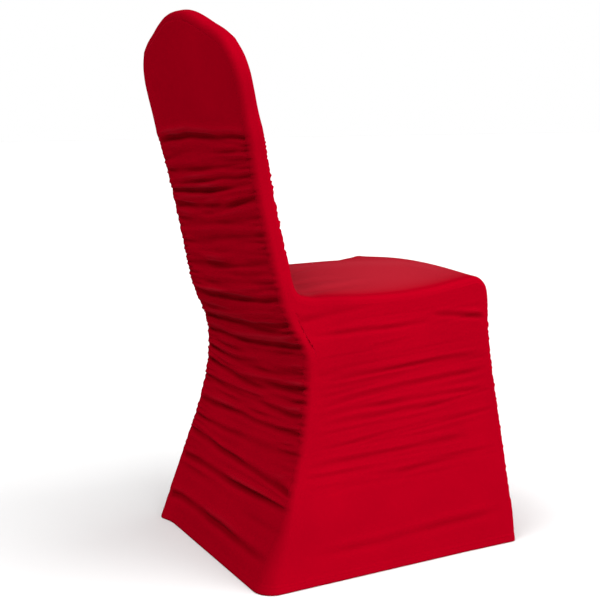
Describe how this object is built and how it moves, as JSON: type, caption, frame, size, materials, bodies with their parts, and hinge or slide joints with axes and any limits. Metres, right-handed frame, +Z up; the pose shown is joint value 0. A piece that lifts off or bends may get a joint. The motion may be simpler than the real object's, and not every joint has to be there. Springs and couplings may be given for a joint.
{
  "type": "ruched chair cover",
  "caption": "Ruched stretch cover for a crown-backed banquet chair, with soft folds across its back and front and a flared skirt.",
  "frame": {"origin": "centre of the bounding box in X and Y, on the floor under the hem", "axes": "+Z up; +X across the width; the front of the seat faces -Y and the back faces +Y"},
  "size_m": [0.46, 0.5502, 0.9228],
  "materials": {
    "back_panel_knit": "matt stretch knit",
    "front_panel_knit": "matt stretch knit",
    "side_panel_right_knit": "matt stretch knit",
    "side_panel_left_knit": "matt stretch knit"
  },
  "bodies": {
    "root": {"back_panel": "back_panel_knit", "front_panel": "front_panel_knit", "side_panel_right": "side_panel_right_knit", "side_panel_left": "side_panel_left_knit"}
  },
  "joints": []
}
